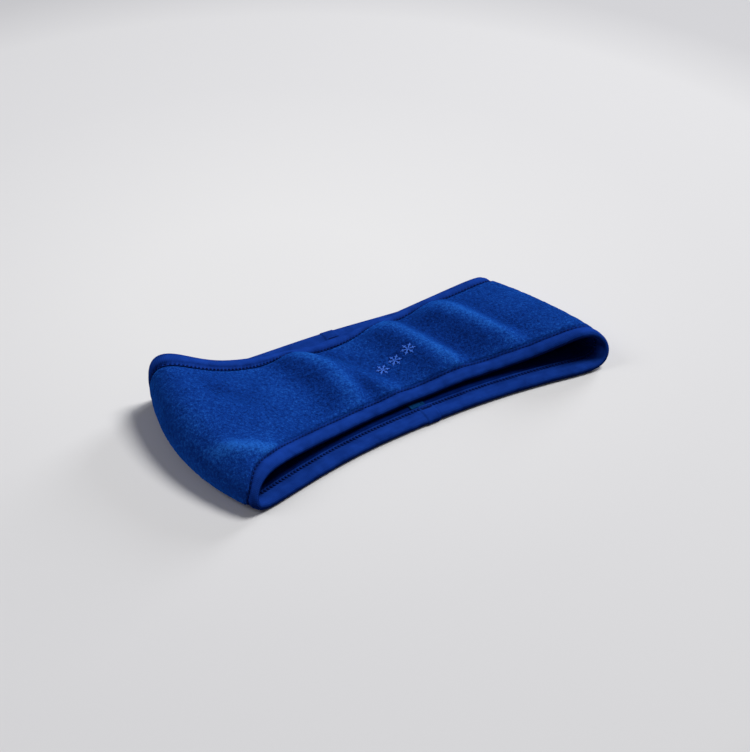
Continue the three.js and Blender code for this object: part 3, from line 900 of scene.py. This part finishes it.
def build_topstitch(side, face):
    row = ROWS_OF_STITCHES[face]
    _, length, _ = even_turns(0.0 if side == "near" else 1.0, 1)
    count = round(length / row["pitch"])
    pitch = length / count
    centre = (np.arange(count) + 0.5) * pitch
    reach, slant = row["reach"] * pitch, row["slant"]
    start, normal = on_line(side, length, centre - reach, row["edge"] - slant, row["offset"])
    end, _ = on_line(side, length, centre + reach, row["edge"] + slant, row["offset"])
    normal = normal * row["up"]
    lift = normal * STITCH_LIFT
    name = f"{side}_{face}_stitches"
    return stitch_tubes(name, start + lift, end + lift, normal, row["radius"], STITCH_DIP)


for side in ("near", "far"):
    for face in ("outer", "inner"):
        thread = THREAD_LOOK if face == "outer" else COVER_LOOK
        dress(build_topstitch(side, face), thread, "thread", f"{side}_{face}_topstitch")


# ---- the embroidery ---------------------------------------------------------------------------
FLAKE_ARMS = 6
FLAKE_HOLE = 0.25          # the arms start this far from the flake's middle
STROKE_IN, STROKE_POWER = 0.05, 0.35   # where a stroke's taper starts, and how blunt it is


def flake_strokes(spot):
    """The strokes of one snowflake, each as two (along, up) ends in millimetres."""
    centre = np.array([spot * FLAKE_PITCH, 0.0])
    strokes = []
    for arm in range(FLAKE_ARMS):
        a = math.pi / 6 + arm * 2 * math.pi / FLAKE_ARMS
        out = np.array([math.cos(a), math.sin(a)])
        bar = np.array([-out[1], out[0]]) * FLAKE_BAR
        strokes.append((centre + FLAKE_HOLE * out, centre + FLAKE_RADIUS * out))
        strokes.append((centre + FLAKE_BAR_AT * out - bar, centre + FLAKE_BAR_AT * out + bar))
    return strokes


def build_flake(name, spot):
    t = np.linspace(0, 1, STROKE_RINGS)[:, None]
    angle = np.arange(STROKE_SIDES) / STROKE_SIDES * 2 * np.pi
    taper = np.sin(np.pi * (STROKE_IN + (1 - 2 * STROKE_IN) * t)) ** STROKE_POWER
    rise = STROKE_LIFT + STROKE_HIGH * taper * np.sin(angle)[None, :]
    points, faces = [], []
    for start, end in flake_strokes(spot):
        line = start + (end - start) * t
        aside = unit(np.array([start[1] - end[1], end[0] - start[0]]))
        plan = line[:, None] + aside * (STROKE_HALF * taper * np.cos(angle)[None, :])[..., None]
        u, distance = from_motif(plan[..., 0], plan[..., 1])
        flat, _ = place(u.ravel(), distance.reshape(-1, 1), FLEECE_OUT + rise.reshape(-1, 1))
        base = len(points) * STROKE_RINGS * STROKE_SIDES
        points.append(flat[:, 0])
        faces += [face[::-1] for face in tube_faces(base, STROKE_RINGS, STROKE_SIDES)]
    return mesh_object(name, np.concatenate(points), faces)


for name, spot in (("left", -1), ("middle", 0), ("right", 1)):
    dress(build_flake(f"embroidered_flake_{name}", spot), EMBROIDERY_LOOK, "embroidery_thread",
          f"snowflake_{name}")


# ---- the centre-back seam and the label, on the inside of the back half -----------------------
BACK_MIDDLE = 50.0         # from the near edge to about the middle of the back half
BACK_ROW = row_length(SEAM_ROW - 0.05, BACK_MIDDLE, 0.0, 0.05)     # millimetres in a row there


def back_strip(name, centre, across, along, low, thick):
    """A closed strip on the back half's inside. Its offsets are arrays over (across, along)."""
    u = centre - across / BACK_ROW
    distance = np.broadcast_to(along[None, :], (len(u), len(along)))
    rows = np.concatenate([distance, distance[:, ::-1]], axis=1)
    offset = np.concatenate([low, (low - thick)[:, ::-1]], axis=1)
    grid, _ = place(u, rows, offset)
    rings, size = grid.shape[:2]
    faces = [(i * size + k, i * size + (k + 1) % size, (i + 1) * size + (k + 1) % size,
              (i + 1) * size + k) for i in range(rings - 1) for k in range(size)]
    half = size // 2
    for k in range(half - 1):
        a, b, c, d = k, k + 1, size - 2 - k, size - 1 - k
        e = (rings - 1) * size
        faces.append((a, d, c, b))
        faces.append((e + a, e + b, e + c, e + d))
    uv = np.stack([np.broadcast_to(across[:, None], rows.shape), rows], -1) * CM_PER_MM
    return mesh_object(name, grid.reshape(-1, 3), faces, uv.reshape(-1, 2))


TAPE_HALF, TAPE_THICK = 5.0, 0.3
TAPE_LOW = -1.55           # the tape's face towards the lining, before it swells
TAPE_GAP = 0.3             # from each binding's leg
SEWN_AT, SEWN_WIDE = 2.9, 0.6          # the tape's two rows of stitches, from its middle
CORD_HIGH, SEWN_DEEP = 0.16, 0.14
RIPPLE_HIGH, RIPPLE_LONG = 0.05, 2.2
TAPE_COLUMNS, TAPE_POINTS = 25, 150


def build_tape():
    """The tape swells along its middle, dips along its stitches and ripples there."""
    width = width_at(np.array([SEAM_ROW]))[0]
    across = np.linspace(-TAPE_HALF, TAPE_HALF, TAPE_COLUMNS)
    from_edge = INNER_LEG + TAPE_GAP
    along = np.linspace(from_edge, width - from_edge, TAPE_POINTS)
    sewn = bell(np.abs(across) - SEWN_AT, SEWN_WIDE)[:, None]
    cord = CORD_HIGH * np.cos(across / TAPE_HALF * np.pi / 2)[:, None]
    ripple = RIPPLE_HIGH * np.cos(along / RIPPLE_LONG * 2 * np.pi)[None, :] * sewn
    low = TAPE_LOW - cord + SEWN_DEEP * sewn + ripple
    return back_strip("seam_tape", SEAM_ROW, across, along, low, TAPE_THICK)


LABEL_HALF, LABEL_THICK = 7.0, 0.25
LABEL_FROM, LABEL_TO = 34.0, 58.0      # from the band's near edge
LABEL_ASIDE = 16.0         # from the seam
LABEL_LOW = -1.6
CURL_HIGH, CURL_FROM, CURL_POWER, CURL_SIDES = 1.1, 0.25, 1.5, 0.25
LABEL_COLUMNS, LABEL_POINTS = 29, 49


def build_label():
    """The label is sewn at its near end and curls away from the lining towards its far end."""
    across = np.linspace(-LABEL_HALF, LABEL_HALF, LABEL_COLUMNS)
    along = np.linspace(LABEL_FROM, LABEL_TO, LABEL_POINTS)
    t = (along - LABEL_FROM) / (LABEL_TO - LABEL_FROM)
    curl = CURL_HIGH * smooth((t - CURL_FROM) / (1 - CURL_FROM)) ** CURL_POWER
    low = LABEL_LOW - curl[None, :] * (1 - CURL_SIDES * (across[:, None] / LABEL_HALF) ** 2)
    row = SEAM_ROW - LABEL_ASIDE / BACK_ROW
    return back_strip("blank_label", row, across, along, low, LABEL_THICK)


SEAM_PITCH, SEAM_REACH, SEAM_THREAD = 2.2, 0.75, 0.2       # the last is the thread's radius
SEAM_OFFSET = -1.82        # on the tape's inner face
SEAM_SHORT = 2.0           # the rows stop this far from the bindings' legs
SEAM_DIP = 0.2


def build_seam_stitches(name, aside):
    width = width_at(np.array([SEAM_ROW]))[0]
    centre = np.arange(INNER_LEG + SEAM_SHORT, width - INNER_LEG - SEAM_SHORT, SEAM_PITCH)
    u = np.full(len(centre), SEAM_ROW - aside / BACK_ROW)
    offset = np.full((len(centre), 1), SEAM_OFFSET)
    start, normal = place(u, (centre - SEAM_REACH)[:, None], offset)
    end, _ = place(u, (centre + SEAM_REACH)[:, None], offset)
    return stitch_tubes(name, start[:, 0], end[:, 0], -normal[:, 0], SEAM_THREAD, SEAM_DIP)


TACK_HALF, TACK_COUNT = 3.2, 11        # half the bar's length, and its stitches
TACK_IN, TACK_REACH = 1.2, 0.8         # from the inner stitches to the bar, and half its width
TACK_SHIFT = 4.0           # the bar lies beside the lap's middle
TACK_OFFSET = LEG_IN - LAP_THICK - 0.05
TACK_THREAD, TACK_DIP = 0.26, 0.3


def build_tack(side):
    """A bar of close stitches that holds the binding's lapped ends."""
    x = np.linspace(-TACK_HALF, TACK_HALF, TACK_COUNT)
    u = SEAM_ROW - (x + LAP_AT[side] - TACK_SHIFT) / BACK_ROW
    ends = []
    for reach in (-TACK_REACH, TACK_REACH):
        distance = np.full((len(u), 1), INNER_STITCH - TACK_IN + reach)
        if side == "far":
            distance = width_at(u)[:, None] - distance
        points, normal = place(u, distance, np.full((len(u), 1), TACK_OFFSET))
        ends.append(points[:, 0])
    return stitch_tubes(f"{side}_bar_tack", *ends, -normal[:, 0], TACK_THREAD, TACK_DIP)


tape = dress(build_tape(), TAPE_LOOK, "binding_knit", "back_seam_tape")
label = dress(build_label(), LABEL_LOOK, "label_satin", "care_label")
for name, aside in (("left", -SEWN_AT), ("right", SEWN_AT)):
    dress(build_seam_stitches(f"seam_stitches_{name}", aside), THREAD_LOOK, "thread",
          f"back_seam_stitch_{name}")

for side in ("near", "far"):
    dress(build_tack(side), THREAD_LOOK, "thread", f"{side}_binding_tack")


# ---- floor and light --------------------------------------------------------------------------
FLOOR_HALF = 5.0           # metres


def add_floor():
    mesh = bpy.data.meshes.new("floor")
    signs = ((-1, -1), (1, -1), (1, 1), (-1, 1))
    corners = [(x * FLOOR_HALF, y * FLOOR_HALF, 0) for x, y in signs]
    mesh.from_pydata(corners, [], [(0, 1, 2, 3)])
    floor = bpy.data.objects.new("floor", mesh)
    floor.data.materials.append(floor_with_painted_light_material())
    bpy.context.scene.collection.objects.link(floor)


# Area lights: azimuth (0 is +X, turning to +Y), elevation, distance, size, watts and colour.
LIGHTS = [
    ("key", -6, 57, 6.0, 2.3, 282, (1.0, 0.99, 0.97)),
    ("rake", 20, 20, 3.0, 1.3, 44, (0.95, 0.96, 1.0)),
    ("left", 152, 42, 3.0, 1.6, 15, (0.94, 0.94, 1.0)),
]


def add_light(name, azimuth, elevation, distance, size, power, colour):
    """A round area light pointed at the object."""
    data = bpy.data.lights.new(name, "AREA")
    data.shape = "DISK"
    data.size = size
    data.energy = power
    data.color = colour
    light = bpy.data.objects.new(name, data)
    a, e = math.radians(azimuth), math.radians(elevation)
    towards = Vector((math.cos(a) * math.cos(e), math.sin(a) * math.cos(e), math.sin(e)))
    light.location = towards * distance
    light.rotation_euler = (-towards).to_track_quat("-Z", "Y").to_euler()
    bpy.context.scene.collection.objects.link(light)


WORLD_COLOUR = (0.86, 0.88, 1.0, 1.0)
WORLD_STRENGTH = 0.11


def add_world():
    world = bpy.data.worlds.new("world")
    world.use_nodes = True
    background = world.node_tree.nodes["Background"]
    background.inputs["Color"].default_value = WORLD_COLOUR
    background.inputs["Strength"].default_value = WORLD_STRENGTH
    bpy.context.scene.world = world


add_floor()
for light_values in LIGHTS:
    add_light(*light_values)

add_world()
bpy.context.scene.view_settings.view_transform = "Standard"

# ---- CAD nodes that stay ----------------------------------------------------------------------
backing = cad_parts["embroidery_backing"]
backing.data.materials.clear()
backing.data.materials.append(BACKING_LOOK)
